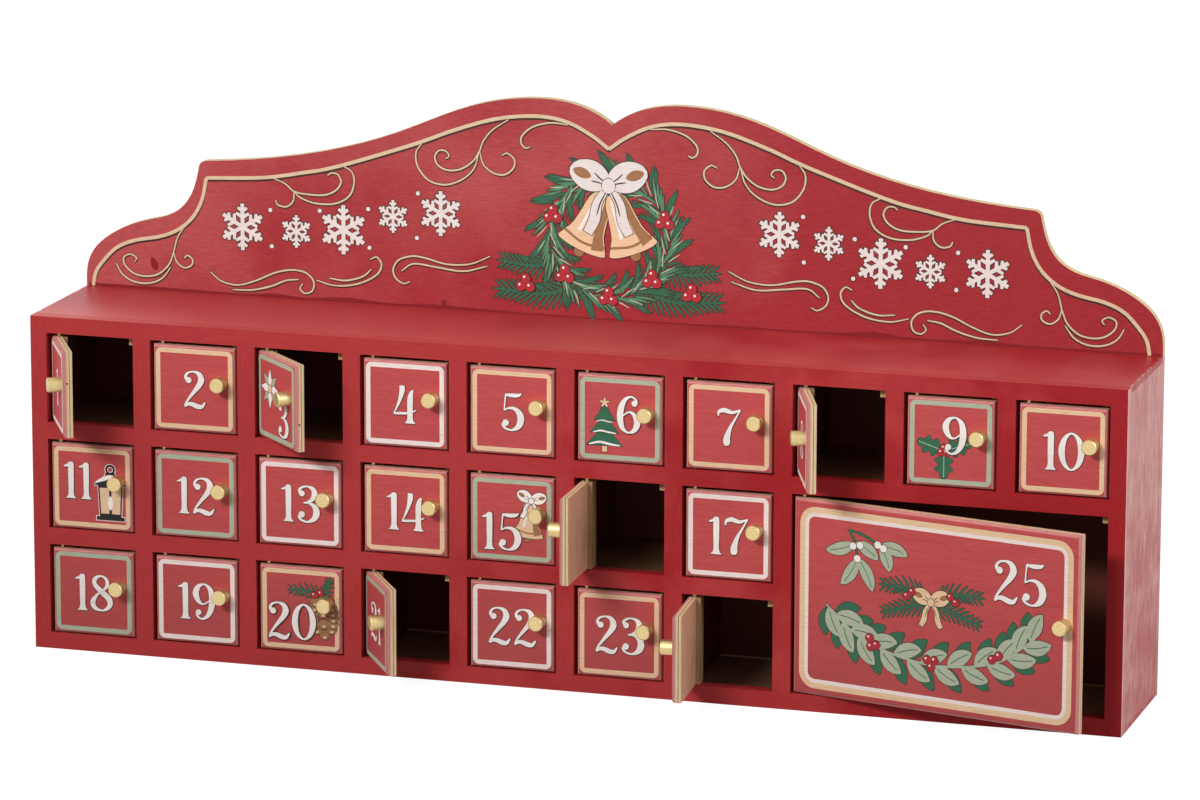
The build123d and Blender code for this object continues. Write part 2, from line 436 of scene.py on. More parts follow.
def bow(size, ink):
    """Two leaf-shaped loops with a fold in each, two bent tails and a knot."""
    loop = moved([blade(size, 0.36 * size, 0.06 * size, 0.5)], 0, 0, turn=20)
    tail = smooth([(0, 0, 0.07), (0.26, -0.4, 0.11), (0.34, -0.8, 0.13), (0.5, -1.12, 0.11)], 16) * size
    fold = moved([blade(0.46 * size, 0.12 * size, 0, 0.6)], 0.42 * size, 0.2 * size, turn=20)
    creases = [[(0.12, 0.04), (0.28, 0.08), (0.42, 0.1)], [(0.1, 0.1), (0.22, 0.18), (0.34, 0.3)],
               [(0.06, -0.14), (0.2, -0.42), (0.28, -0.7)]]
    creases = [pen(size * np.array(points), 0.016 * size, 0.3, 12) for points in creases]
    knot = [disc(0, 0, 0.16 * size, 1.1)]
    layers = outlined(ink, both_halves([tail])) + outlined(ink, both_halves(loop))
    layers += [("brown", both_halves(fold)), ("dark", both_halves(creases))]
    return layers + outlined(ink, knot)


def berries(places, radius):
    """Red berries with a dark outline and a pale glint each."""
    spots = [disc(x, y, radius) for x, y in places]
    glints = [disc(x - 0.3 * radius, y + 0.3 * radius, 0.24 * radius) for x, y in places]
    return outlined("berry", spots, 0.3) + [("white", glints)]


def holly(length, half, turns):
    """Spined leaves round the origin with a pale rib each, and three berries in their middle."""
    leaves = [leaf for turn in turns for leaf in moved([spined(length, half)], 0, 0, turn=turn)]
    spots = [(0.11 * length * cos(radians(a)), 0.11 * length * sin(radians(a))) for a in (90, 210, 330)]
    return outlined("green", leaves) + [("sage", rib(leaves, 0.16))] + berries(spots, 0.14 * length)


def pine_cone(length):
    """A cone hanging from the origin: rows of round scales, each row over the one below it."""
    layers = []
    for row in range(7):
        u = 0.93 - 0.135 * row
        reach = 0.25 * length * sin(pi * (0.12 + 0.8 * u)) ** 0.8
        across = np.linspace(-reach, reach, 2 + (row + 1) % 2) if row else [0.0]
        scales = [disc(a, -length * u, 0.125 * length, 0.95) for a in across]
        tips = [disc(a, -length * (u + 0.055), 0.045 * length, 0.6) for a in across]
        layers += outlined("brown", scales, 0.25) + [("tan", tips)]
    return layers


def fir_tree(height):
    """Three skirts, each a cone over the next, on a trunk, with snow on their edges and a star."""
    skirts = [
        np.array([(0, foot, half), (0, (top + foot) / 2, 0.42 * half), (0, top, 0.01)]) * height
        for top, foot, half in ((0.55, 0.12, 0.36), (0.74, 0.36, 0.28), (0.92, 0.6, 0.2))
    ]
    trunk = [np.array([(0, 0.0, 0.05), (0, 0.14, 0.05)]) * height]
    edge = [(-0.3, 0.13), (-0.1, 0.18), (0.1, 0.15), (0.3, 0.13)]
    snow = [pen(height * np.array(edge), 0.022 * height, 0.3)]
    snow += moved(snow, 0, 0.26 * height, size=0.76) + moved(snow, 0, 0.5 * height, size=0.52)
    ray = [blade(0.1 * height, 0.022 * height)]
    star = [stroke for k in range(5) for stroke in moved(ray, 0, 0.93 * height, turn=90 + 72 * k)]
    layers = outlined("tan", trunk)
    for skirt in skirts:
        layers += outlined("green", [skirt])
    return layers + [("white", snow)] + outlined("tan", star, 0.2)


def lantern(height):
    """A black lantern: foot, panes lit by a flame, a roof with snow and a ring."""
    rows = [
        [(0, 0.0, 0.26), (0, 0.07, 0.26)],
        [(0, 0.07, 0.2), (0, 0.62, 0.23)],
        [(0, 0.62, 0.29), (0, 0.66, 0.28), (0, 0.8, 0.1), (0, 0.86, 0.08)],
    ]
    body = [height * np.array(row) for row in rows]
    body.append(rounded_frame(-0.07, 0.84, 0.07, 0.98, 0.065, 0.02) * height)
    pane = [height * np.array([(0.1, 0.12, 0.075), (0.11, 0.58, 0.09)])]
    rows = [(-0.27, 0.67, 0.015), (-0.12, 0.74, 0.035), (0, 0.78, 0.035), (0.12, 0.74, 0.035),
            (0.27, 0.67, 0.015)]
    snow = [height * smooth(rows, 20)]
    flame = moved([blade(0.26 * height, 0.05 * height)], 0, 0.18 * height, turn=90)
    layers = [("white", widened(body, 0.25)), ("black", body), ("tan", both_halves(pane))]
    return layers + [("white", snow + flame)]


def rhomb_star(radius, half):
    """Eight straight-sided rhombs about the origin, in two inks by turns, round a pale middle."""
    rhomb = np.array([(0, 0, 0.02), (0.45, 0, 1.0), (1.0, 0, 0.03)]) * (radius, radius, half)
    rhombs = [moved([rhomb], 0, 0, turn=45 * k)[0] for k in range(8)]
    middle = [disc(0, 0, 0.2 * radius)]
    layers = outlined("sage", rhombs[1::2]) + outlined("white", rhombs[::2])
    return layers + outlined("tan", middle, 0.2)


def leafy_swag(points, count, length, half, lean):
    """Leaves on alternate sides of a hanging curve, turned out from it by an angle."""
    path = smooth(points, 8 * count + 1)
    heading = np.degrees(np.arctan2(*np.gradient(path, axis=0).T[::-1]))
    leaves = []
    for k in range(count):
        way = 1 if k % 2 else -1
        leaf = blade(length, half, 0.06 * way * length, 0.75)
        leaves += moved([leaf], *path[8 * k + 3], turn=heading[8 * k + 3] + way * lean)
    return leaves


# Doors


sprigs = twig([(0, 0), (-6, 2.5), (-12, 3)], 5, 5.5, 0.36)
sprigs += twig([(0, 0), (2.5, 3), (3.6, 6)], 4, 4.5, 0.36)
cone = outlined("green", sprigs, 0.2) + pine_cone(17.5) + berries([(-3.2, 0.9), (-0.4, 1.6)], 1.4)
# The small doors with pictures: the number's place, the picture, its place and any turn.
# Places are in millimetres from the leaf's lower left corner.
door_pictures = {
    3: (24.5, 11.5, rhomb_star(8.2, 1.9), 12.0, 22.0),
    6: (21.6, 20.5, fir_tree(22.0), 11.6, 4.4),
    9: (19.8, 21.3, holly(11.5, 3.9, (162, 18, 270)), 15.4, 14.8),
    11: (11.6, 21.0, lantern(24.0), 26.2, 4.6),
    15: (13.5, 13.0, hung_bell(14.5, 6.6) + bow(6.8, "white"), 26.4, 26.6, -6),
    20: (14.0, 13.0, cone, 27.4, 24.2, 4),
}
border_inks = {
    "blush": (1, 4, 8, 13, 17, 19, 22, 24),
    "tan": (2, 5, 7, 10, 11, 14, 16, 20, 23),
    "sage": (3, 6, 9, 12, 15, 18, 21),
}
nail_heights = {1: 23.0, 3: 11.4}


def door_border(door, inset, width, corner):
    """A border of a width, inset from the leaf's edges, with its outer corners rounded."""
    half = width / 2
    edge = inset + half
    return rounded_frame(edge, edge, door.width - edge, door.height - edge, corner - half, half)


def small_door_print(door):
    """A border, perhaps a picture, and a number over it."""
    border = door_border(door, border_inset, border_width, border_corner)
    ink = next(name for name, numbers in border_inks.items() if door.number in numbers)
    print_on(door, f"{door.name}_border", [(ink, [border])])
    plain = (door.width / 2, door.height / 2, [], 0.0, 0.0)
    x, y, *picture = door_pictures.get(door.number, plain)
    layers = moved_layers(*picture) + number_print(door.number, x, y, figure_height)
    print_on(door, f"{door.name}_print", layers)
    if door.number in nail_heights:
        hole = disc(nail_depth, nail_heights[door.number], nail_hole)
        print_on(door.free_edge(), f"{door.name}_nail_hole", [("black", [hole])])


def large_door_print(door):
    """Two borders, a number, a mistletoe sprig, fir boughs under a bow and a leafy swag."""
    outer = door_border(door, large_border_inset, large_border_width, large_border_corner)
    inset = large_border_inset + large_border_width
    corner = large_border_corner - large_border_width
    inner = door_border(door, inset, large_lining_width, corner)
    print_on(door, f"{door.name}_border", [("tan", [outer]), ("blush", [inner])])
    number = number_print(door.number, *large_number_place, large_figure_height)
    print_on(door, f"{door.name}_number", number)

    stems = [pen([(0, 0), (3, -5), (4, -11)], 0.5, 0.5), pen([(0, 0), (7, -1.5), (14, -5)], 0.5, 0.5)]
    rows = [(3, -5, 198, 14), (3, -5, -30, 12), (4, -11, -122, 14), (4, -11, -62, 15), (14, -5, -12, 13),
            (14, -5, -66, 11)]
    leaves = [moved([blade(length, 2.7, 1.0, 0.7)], x, y, turn=turn)[0] for x, y, turn, length in rows]
    places = ((2, -6.4), (5.2, -5.8), (4, -11.4), (13.2, -4.6), (15.8, -5.8))
    pearls = [disc(x, y, 1.5) for x, y in places]
    sprig = outlined("green", stems, 0.2) + outlined("sage", leaves)
    sprig += [("green", rib(leaves, 0.15))] + outlined("white", pearls, 0.28)
    print_on(door, f"{door.name}_mistletoe", moved_layers(sprig, *mistletoe_place))

    upper = twig([(2, 1), (11, 4.6), (20, 4.6)], 7, 7.5, 0.46)
    lower = twig([(2, -1), (11, -3.2), (19.5, -6)], 7, 7.0, 0.46)
    boughs = outlined("green", both_halves(upper + lower), 0.22) + bow(9.0, "tan")
    boughs += berries([(-11, 1.4), (-8.6, 3.4), (11, 1.4), (8.6, 3.4)], 1.6)
    print_on(door, f"{door.name}_boughs", moved_layers(boughs, *boughs_place))

    hang = [(15, 39), (33, 26), (62, 20), (91, 24.5), (109, 37)]
    shaded = leafy_swag(hang, 22, 12.0, 3.0, 58)
    lit = leafy_swag(hang, 20, 13.0, 3.2, 28)
    swag = outlined("green", shaded) + outlined("sage", [pen(hang, 0.5, 0.5, 60)] + lit)
    spots = [(35, 27.5), (38, 25), (35.5, 24), (61, 22), (64.4, 22), (62.8, 19.1), (90, 26), (93, 27.8)]
    swag += [("green", rib(lit, 0.18))] + berries(spots, 1.8)
    print_on(door, f"{door.name}_swag", swag)


# Header: its border and scrollwork on the left half, from the case's left end and its top


header_border = [
    (4.2, 0.6), (5.3, 6), (8, 10.4), (14.7, 17.4), (23, 21.2), (34.7, 23.7), (43, 27.1), (49.7, 32.9),
    (53.8, 40.4), (56, 50.1),
]
header_sweep = [
    (56, 50.1), (81.3, 51.7), (98, 54.6), (114.7, 58.4), (148, 69.6), (164.7, 76.2), (181.3, 81.7),
    (194.7, 84.1), (206.3, 84.4), (216.3, 82.4), (226.3, 77.4), (233.25, 72.4),
]
scrolls = [
    [(46.7, 29.6), (42.7, 23.7), (40.8, 17.1), (38.5, 11.6), (33.8, 7.4), (28, 6.1), (22.7, 7.1),
     (18.7, 10.4), (18.3, 13.7), (21.3, 15.2), (24, 13.7), (23, 11.9)],
    [(40.8, 17.4), (42.2, 13.2), (45.5, 10.9), (48.8, 12.1), (49.3, 14.6), (47.2, 16.2), (45.5, 14.9)],
    [(14.7, 10.9), (17.7, 6.2), (23, 3.4), (29.7, 3.2), (35.5, 5.7), (39.5, 10.7)],
    [(86, 51.7), (91.3, 49.6), (95.2, 46.6), (101.3, 45.7), (108.8, 45.9), (113.8, 48.2), (116, 51.7),
     (114.7, 54.9), (111.8, 55.4), (110, 54.1)],
    [(95.2, 46.6), (98, 44.1), (104.7, 42.1), (113, 42.4), (119.3, 45.7), (121.8, 51.2), (121, 56.2),
     (117.2, 58.7)],
    [(95.2, 46.6), (94.7, 42.4), (91.7, 39.9), (88, 40.4), (86.8, 42.4)],
    [(189.7, 82.4), (183, 77.9), (178.8, 72.9), (176.8, 67.9), (173.8, 63.7), (168.8, 60.4), (163, 59.6),
     (158.8, 61.6), (157.5, 64.9), (159.2, 67.6), (162.2, 67.7), (163.7, 65.7), (162.2, 64.4)],
    [(176.8, 67.9), (174.7, 61.2), (169.7, 56.2), (162.2, 53.4), (154.7, 54.9), (150, 60.4),
     (149.2, 66.2), (151.7, 70.1)],
    [(177.2, 67.9), (178.8, 62.9), (183, 59.6), (188, 59.2), (191.8, 62.1), (192.2, 65.7), (189.3, 68.2),
     (186.7, 67.1)],
    [(215.5, 81.7), (208, 82.1), (200.5, 80.1), (195.8, 76.2), (195.2, 72.9), (197.2, 70.9),
     (199.2, 71.6)],
    [(57.2, 9.9), (62.2, 6.2), (69.7, 4.9), (78, 7.4), (86.3, 11.2), (93.8, 12.9), (100, 12.1),
     (103.5, 8.7), (103, 4.6), (99.7, 3.2), (97.5, 5.1), (98.8, 7.4)],
    [(67.2, 2.7), (76.3, 3.2), (84.7, 5.4), (91.3, 8.2), (97, 9)],
    [(104.7, 9.2), (113, 7.4), (123, 8.7), (131.3, 12.9), (133.8, 17.4), (131.8, 20.7), (128.8, 19.6)],
    [(110.5, 10.4), (118, 9.9), (125.5, 12.1), (129.3, 15.4)],
    [(146.3, 11.2), (143.5, 10.2), (140, 12.4), (139, 16.2), (141.5, 20.2), (147.2, 22.1), (153, 21.7),
     (163, 19.6), (173, 20.4), (181.7, 24.2)],
    [(142.5, 15.4), (148, 18.9), (158, 18.1), (169.7, 17.1), (180.5, 19.9)],
]


def header_scrollwork(header):
    """A border ribbon along the header's edge and outlined scrolls under it, with dark lines beside."""
    middle = header.width / 2
    edges = (header_border, header_sweep)
    pale = [pen(points, ribbon_half, 1.0, 90) for points in edges]
    curls = [pen(points, scroll_half, 0.5, 12 * len(points)) for points in scrolls]
    dark = [pen(points, ribbon_dark_half, 1.0, 90) for points in edges]
    dark = moved(dark, *ribbon_dark_shift)
    lines = [pen(points, scroll_dark_half, 0.5, 12 * len(points)) for points in scrolls]
    dark += moved(lines, *scroll_dark_shift) + widened(curls, scroll_outline)
    layers = [("dark", both_halves(dark, middle)), ("straw", both_halves(pale + curls, middle))]
    print_on(header, "header_scrolls", layers)


def header_paint_runs(header):
    """Red paint drawn unevenly along the joint with the case, and two small runs of it over the print."""
    rows = [(1, 0.7), (38, 0.65), (72, 0.45), (84, 0.9), (98, 0.5), (118, 1.1), (134, 0.5), (158, 0.85),
            (176, 0.6), (204, 0.35), (262, 0.3), (288, 0.55), (308, 0.35), (332, 0.6), (346, 1.2),
            (362, 0.45), (392, 0.7), (420, 0.4), (465.5, 0.6)]
    joint = smooth([(x, half, half) for x, half in rows], 200)
    runs = [smooth([(29.6, 14.2, 0.3), (30.2, 12.6, 1.2), (31.0, 10.6, 1.6), (31.6, 8.6, 0.7)], 16)]
    runs += [disc(160.0, 2.6, 1.3)]
    print_on(header, "header_paint_runs", [("paint", [joint] + runs)])


def header_flakes(header):
    """A line of white snowflakes of three sizes on each half, along a gentle rise."""
    middle = header.width / 2
    rows = ((72, 30, 10), (96, 29.5, 7), (117, 31.5, 10.5), (139, 38.5, 7), (160, 41, 9.5))
    flakes = []
    for x, y, radius in rows:
        flakes += moved(snowflake(radius, 0.085 * radius), x, y)
    places = ((84.5, 38), (85, 22.5), (106.5, 39), (128.5, 24.5), (128, 41), (149.5, 30), (150, 49))
    flakes += [disc(x, y, 0.9) for x, y in places]
    print_on(header, "header_snowflakes", outlined("chalk", both_halves(flakes, middle), 0.35))


def header_wreath(header):
    """A fir wreath on boughs, with berries, two bells hung in it and a bow over them, in the middle."""
    boughs = twig([(8, -18), (26, -25.5), (45, -25)], 15, 11.0, 0.56)
    boughs += twig([(18, -9), (31, -14), (44, -13)], 11, 9.5, 0.5)
    layers = outlined("green", both_halves(boughs))
    layers += outlined("green", ring_of_needles(wreath_radius, 150, 12.0, 0.62, 44))
    layers += outlined("fir", ring_of_needles(wreath_radius, 96, 10.0, 0.56, 26))
    layers += [("sage", ring_of_needles(wreath_radius + 0.2, 56, 7.0, 0.3, 30))]
    for x, turn in ((-2.0, -23), (2.0, 21)):
        layers += moved_layers(hung_bell(24.5, 11.0), x, 18.5, turn)
    layers += moved_layers(bow(18.0, "chalk"), 0.0, 21.5)
    turns = np.radians((18, 162, 222, 318, 270))
    around = [(wreath_radius * cos(turn), wreath_radius * sin(turn)) for turn in turns]
    around += [(-36.0, -22.0), (36.0, -22.0)]
    trio = ((-2.0, -0.9), (2.0, -1.1), (0.1, 2.4))
    layers += berries([(x + dx, y + dy) for x, y in around for dx, dy in trio], 2.1)
    print_on(header, "header_wreath", moved_layers(layers, header.width / 2, wreath_height))


# Materials


def linear(code):
    """Linear red, green, blue and alpha of an sRGB hex colour."""
    parts = np.array([int(code[k : k + 2], 16) for k in (1, 3, 5)]) / 255
    parts = np.where(parts <= 0.04045, parts / 12.92, ((parts + 0.055) / 1.055) ** 2.4)
    return (*parts, 1.0)


def add(tree, kind, inputs, ramp=(), **settings):
    """Adds a node and gives its outputs. An input is a value, a hex colour or an output to link."""
    node = tree.nodes.new("ShaderNode" + kind)
    for name, value in settings.items():
        setattr(node, name, value)
    for k, (share, code) in enumerate(ramp):
        stops = node.color_ramp.elements
        stop = stops[0] if k == 0 else stops[-1] if k == len(ramp) - 1 else stops.new(share)
        stop.position = share
        stop.color = linear(code)
    for key, value in inputs.items():
        if isinstance(value, bpy.types.NodeSocket):
            tree.links.new(value, node.inputs[key])
        else:
            node.inputs[key].default_value = linear(value) if isinstance(value, str) else value
    return node.outputs


def new_material(name, look, *settings):
    """A material whose nodes are laid by a look, from the Object coordinates and the look's settings."""
    material = bpy.data.materials.new(name)
    material.use_nodes = True
    tree = material.node_tree
    tree.nodes.clear()
    look(tree, add(tree, "TexCoord", {})["Object"], *settings)
    return material


def grain(tree, place, along, width, drawn):
    """Wood grain: noise a streak's width in millimetres apart, drawn out along an axis."""
    scale = [1 / ((drawn if axis == along else 1) * width * mm) for axis in "XYZ"]
    stretched = add(tree, "Mapping", {"Vector": place, "Scale": scale})["Vector"]
    fine = {"Vector": stretched, "Scale": 1.0, "Detail": 4.0, "Roughness": 0.6}
    return add(tree, "TexNoise", fine)["Fac"]


def laid_over(tree, colour, over, value, start, end, most=1.0):
    """A colour under another, whose share grows to the most as a value goes from a start to an end."""
    span = {"Value": value, "From Min": start, "From Max": end, "To Max": most}
    share = add(tree, "MapRange", span)["Result"]
    return add(tree, "Mix", {0: share, 6: colour, 7: over}, data_type="RGBA")[2]


def facing(tree, axis):
    """How much a side faces along an axis: one if fully, minus one if away from it."""
    return add(tree, "SeparateXYZ", {"Vector": add(tree, "NewGeometry", {})["Normal"]})[axis]


def surface(tree, colour, relief, smoothest, roughest, depth, sockets):
    """The shader: a colour, and from a relief the roughness and a bump so many millimetres deep."""
    span = {"From Min": 0.35, "From Max": 0.65, "To Min": smoothest, "To Max": roughest}
    rough = add(tree, "MapRange", {"Value": relief, **span})["Result"]
    bump = add(tree, "Bump", {"Height": relief, "Distance": depth * mm, "Strength": 0.6})["Normal"]
    skin = {"Base Color": colour, "Roughness": rough, "Normal": bump, **sockets}
    shader = add(tree, "BsdfPrincipled", skin)["BSDF"]
    add(tree, "OutputMaterial", {"Surface": shader})


# Thin washes and inks on wood have a dry skin with little gloss, rubbed paint still less
dry_skin = {"IOR": 1.45, "Specular IOR Level": 0.3}
rubbed_skin = {"IOR": 1.45, "Specular IOR Level": 0.15}
# How much more painted sheen the red takes, a metre across and a metre up
sheen_across = -1.2
sheen_up = 2.5
# Sides of the case in metres, and how near an outer one a place counts as on it
case_half_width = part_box("face_stiles")[1].x
case_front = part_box("face_stiles")[0].y
case_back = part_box("top_board")[1].y
case_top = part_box("top_board")[1].z
bay_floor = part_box("bottom_board")[1].z
on_side = 0.05 * mm
# Where the leaf's ply changes, in millimetres behind its front
round_over = (0.04, 0.2)
bare_edge = (1.2, 1.8)
leaf_back = (3.9, 3.98)
hinge_rail = (4.1, 4.2)
glue_line = 2.75
glue_half = 0.16


def red_coat(tree, place, along):
    """Brushed satin red: an even coat with faint grain under it, and a painted sheen paler to the left.

    On the case's top: painted shade deep by the header, painted sheen towards the front and the left.
    """
    streaks = grain(tree, place, along, 0.6, 14)
    dense = add(tree, "ValToRGB", {"Fac": streaks}, ((0.3, "#971C20"), (0.7, "#A12529")))["Color"]
    sheen_red = add(tree, "ValToRGB", {"Fac": streaks}, ((0.3, "#A63032"), (0.7, "#B03B3B")))["Color"]
    clouds = add(tree, "TexNoise", {"Vector": place, "Scale": 1 / (38 * mm), "Detail": 3.0})["Fac"]
    x, y, z = add(tree, "SeparateXYZ", {"Vector": place})
    # Painted sheen: the red turns paler towards the left, where the light falls, broken by random clouds
    sheen_share = add(tree, "Math", {0: x, 1: sheen_across, 2: clouds}, operation="MULTIPLY_ADD")[0]
    red = laid_over(tree, dense, sheen_red, sheen_share, 0.3, 0.5)
    # Painted shade: on the top, the red deepens towards the back, under the header
    on_top = add(tree, "Math", {0: z, 1: case_top - on_side}, operation="GREATER_THAN")[0]
    header_shade = add(tree, "Math", {0: on_top, 1: 0.5}, operation="MULTIPLY")[0]
    red = laid_over(tree, red, "#8C1418", y, 0.0, case_back, header_shade)
    # Painted sheen: on the top, the red turns paler towards the front, and more so towards the left
    span = {"From Min": -150 * mm, "From Max": -225 * mm, "To Min": 0.2, "To Max": 0.72}
    most = add(tree, "MapRange", {"Value": x, **span})["Result"]
    most = add(tree, "Math", {0: most, 1: on_top}, operation="MULTIPLY")[0]
    return laid_over(tree, red, "#DA6B64", y, 0.0, case_front, most), streaks


def thin_wash(tree, place, along):
    """Thin red wash rubbed into pale wood: the grain takes it unevenly, and it is denser lower down."""
    streaks = grain(tree, place, along, 1.3, 9)
    tones = ((0.34, "#D2A29D"), (0.52, "#C48D88"), (0.7, "#B67772"))
    pale = add(tree, "ValToRGB", {"Fac": streaks}, tones)["Color"]
    tones = ((0.34, "#B97672"), (0.52, "#AA605C"), (0.7, "#9A4D4A"))
    dense = add(tree, "ValToRGB", {"Fac": streaks}, tones)["Color"]
    height = add(tree, "SeparateXYZ", {"Vector": place})["Z"]
    span = {"Value": height, "From Min": case_top, "From Max": 0.0, "To Max": 0.5}
    low = add(tree, "MapRange", span)["Result"]
    clouds = add(tree, "TexNoise", {"Vector": place, "Scale": 1 / (16 * mm), "Detail": 3.0})["Fac"]
    share = add(tree, "Math", {0: low, 1: clouds}, operation="ADD")[0]
    return laid_over(tree, pale, dense, share, 0.55, 0.95), streaks


def case_ends(tree, place):
    """How far a place is from the case's middle, and one where it is on an end, left or right."""
    across = add(tree, "SeparateXYZ", {"Vector": place})["X"]
    reach = add(tree, "Math", {0: across}, operation="ABSOLUTE")[0]
    return reach, add(tree, "Math", {0: reach, 1: case_half_width - on_side}, operation="GREATER_THAN")[0]


def satin_red_rails(tree, place):
    """Satin red paint on the level rails: deep red with a soft sheen."""
    colour, streaks = red_coat(tree, place, "X")
    surface(tree, colour, streaks, 0.4, 0.52, 0.01, rubbed_skin)


def satin_red_stiles(tree, place):
    """The same paint on the upright stiles, whose outermost sides are washed, with a rubbed edge."""
    red, streaks = red_coat(tree, place, "Z")
    wash, _ = thin_wash(tree, place, "Z")
    depth = add(tree, "SeparateXYZ", {"Vector": place})["Y"]
    edge = (case_front + 2.4 * mm, case_front + 1.0 * mm)
    wash = laid_over(tree, wash, "#E3B4AF", depth, *edge, most=0.6)
    _, ends = case_ends(tree, place)
    colour = laid_over(tree, red, wash, ends, 0.0, 1.0)
    surface(tree, colour, streaks, 0.4, 0.52, 0.01, rubbed_skin)


def satin_red_board(tree, place, inner_way):
    """The same paint on a level board, scuffed at its dull ends, with brown stain on its inner face.

    The inner way is 1 where that face looks up, and -1 where it looks down.
    """
    red, streaks = red_coat(tree, place, "X")
    scuffs = add(tree, "TexNoise", {"Vector": place, "Scale": 1 / (4 * mm), "Detail": 4.0})["Fac"]
    scuffs = add(tree, "MapRange", {"Value": scuffs, "From Min": 0.48, "From Max": 0.6})["Result"]
    reach, ends = case_ends(tree, place)
    strength = add(tree, "MapRange", {"Value": ends, "To Min": 1.0, "To Max": 0.2})["Result"]
    most = add(tree, "Math", {0: scuffs, 1: strength}, operation="MULTIPLY")[0]
    rim = (case_half_width - 1.1 * mm, case_half_width - 0.3 * mm)
    red = laid_over(tree, red, "#CF9C97", reach, *rim, most)
    stain = add(tree, "ValToRGB", {"Fac": streaks}, ((0.35, "#865F46"), (0.65, "#A0785B")))["Color"]
    colour = laid_over(tree, red, stain, facing(tree, "Z"), 0.4 * inner_way, 0.6 * inner_way)
    gloss = add(tree, "MapRange", {"Value": ends, "To Min": 0.5, "To Max": 0.1})["Result"]
    surface(tree, colour, streaks, 0.36, 0.46, 0.01, {"IOR": 1.45, "Specular IOR Level": gloss})


def thin_red_wash(tree, place):
    """Thin red wash on the end panels, cloudy and pink, and dark stain on their inner sides."""
    wash, streaks = thin_wash(tree, place, "Z")
    stain = add(tree, "ValToRGB", {"Fac": streaks}, ((0.35, "#5A281B"), (0.65, "#784029")))["Color"]
    _, ends = case_ends(tree, place)
    colour = laid_over(tree, stain, wash, ends, 0.0, 1.0)
    surface(tree, colour, streaks, 0.55, 0.7, 0.04, dry_skin)


def printed_header(tree, place):
    """Red printed on birch plywood: level grain in front, pale bare edges, a thin wash behind.
    In front, a painted sheen makes the red paler towards the left and upwards.

    Below the case's top it is the dark back of the bays, with a bare seam, and the edges are washed.
    """
    streaks = grain(tree, place, "X", 0.45, 9)
    tones = ((0.36, "#911E26"), (0.52, "#96242B"), (0.68, "#9D2E33"))
    full = add(tree, "ValToRGB", {"Fac": streaks}, tones)["Color"]
    tones = ((0.36, "#A43F40"), (0.52, "#AA4848"), (0.68, "#B15352"))
    worn_and_sheen = add(tree, "ValToRGB", {"Fac": streaks}, tones)["Color"]
    clouds = add(tree, "TexNoise", {"Vector": place, "Scale": 1 / (60 * mm), "Detail": 3.0})["Fac"]
    x, _, z = add(tree, "SeparateXYZ", {"Vector": place})
    # Painted sheen: the printed red turns paler towards the left and upwards, broken by random clouds
    sheen_share = add(tree, "Math", {0: x, 1: sheen_across, 2: clouds}, operation="MULTIPLY_ADD")[0]
    sheen_share = add(tree, "Math", {0: z, 1: sheen_up, 2: sheen_share}, operation="MULTIPLY_ADD")[0]
    red = laid_over(tree, full, worn_and_sheen, sheen_share, 0.86, 1.2)
    plies = grain(tree, place, "X", 0.7, 20)
    edge = add(tree, "ValToRGB", {"Fac": plies}, ((0.35, "#E0CAA0"), (0.66, "#C3A474")))["Color"]
    stain = add(tree, "ValToRGB", {"Fac": plies}, ((0.35, "#5F2A1D"), (0.65, "#663023")))["Color"]
    stain = laid_over(tree, stain, "#C9A67C", z, bay_floor + 0.7 * mm, bay_floor + 0.4 * mm)
    wash, _ = thin_wash(tree, place, "X")
    joint = (case_top + 0.1 * mm, case_top)
    edge = laid_over(tree, edge, wash, z, *joint)
    front = laid_over(tree, red, stain, z, *joint)
    colour = laid_over(tree, front, edge, facing(tree, "Y"), -0.6, -0.4)
    colour = laid_over(tree, colour, wash, facing(tree, "Y"), 0.4, 0.6)
    surface(tree, colour, streaks, 0.46, 0.6, 0.012, dry_skin)


def dark_stained_boards(tree, place):
    """Dark brown stain on thin boards, with painted light on their upper sides: the grain shows near the
    front.
    """
    streaks = grain(tree, place, "Y", 1.0, 16)
    colour = add(tree, "ValToRGB", {"Fac": streaks}, ((0.35, "#522618"), (0.65, "#6E3A26")))["Color"]
    # Painted light: sides that face up, where light falls, are paler than the rest
    upper = add(tree, "ValToRGB", {"Fac": streaks}, ((0.35, "#5C3B27"), (0.65, "#744F37")))["Color"]
    colour = laid_over(tree, colour, upper, facing(tree, "Z"), 0.4, 0.6)
    surface(tree, colour, streaks, 0.6, 0.75, 0.03, dry_skin)


def bare_softwood(tree, place):
    """Bare planed softwood: pale, dry and streaked by its grain."""
    streaks = grain(tree, place, "Y", 0.7, 18)
    colour = add(tree, "ValToRGB", {"Fac": streaks}, ((0.35, "#C6A47C"), (0.65, "#A8835C")))["Color"]
    surface(tree, colour, streaks, 0.6, 0.8, 0.03, dry_skin)


def satin_brass(tree, place, speck):
    """Brass turned or drawn, then lacquered: pale satin metal with a fine speckle of tool marks."""
    marks = add(tree, "TexNoise", {"Vector": place, "Scale": 1 / (speck * mm), "Detail": 3.0})["Fac"]
    colour = add(tree, "ValToRGB", {"Fac": marks}, ((0.35, "#DBC795"), (0.65, "#C6AC76")))["Color"]
    surface(tree, colour, marks, 0.38, 0.54, 0.02, {"Metallic": 1.0})


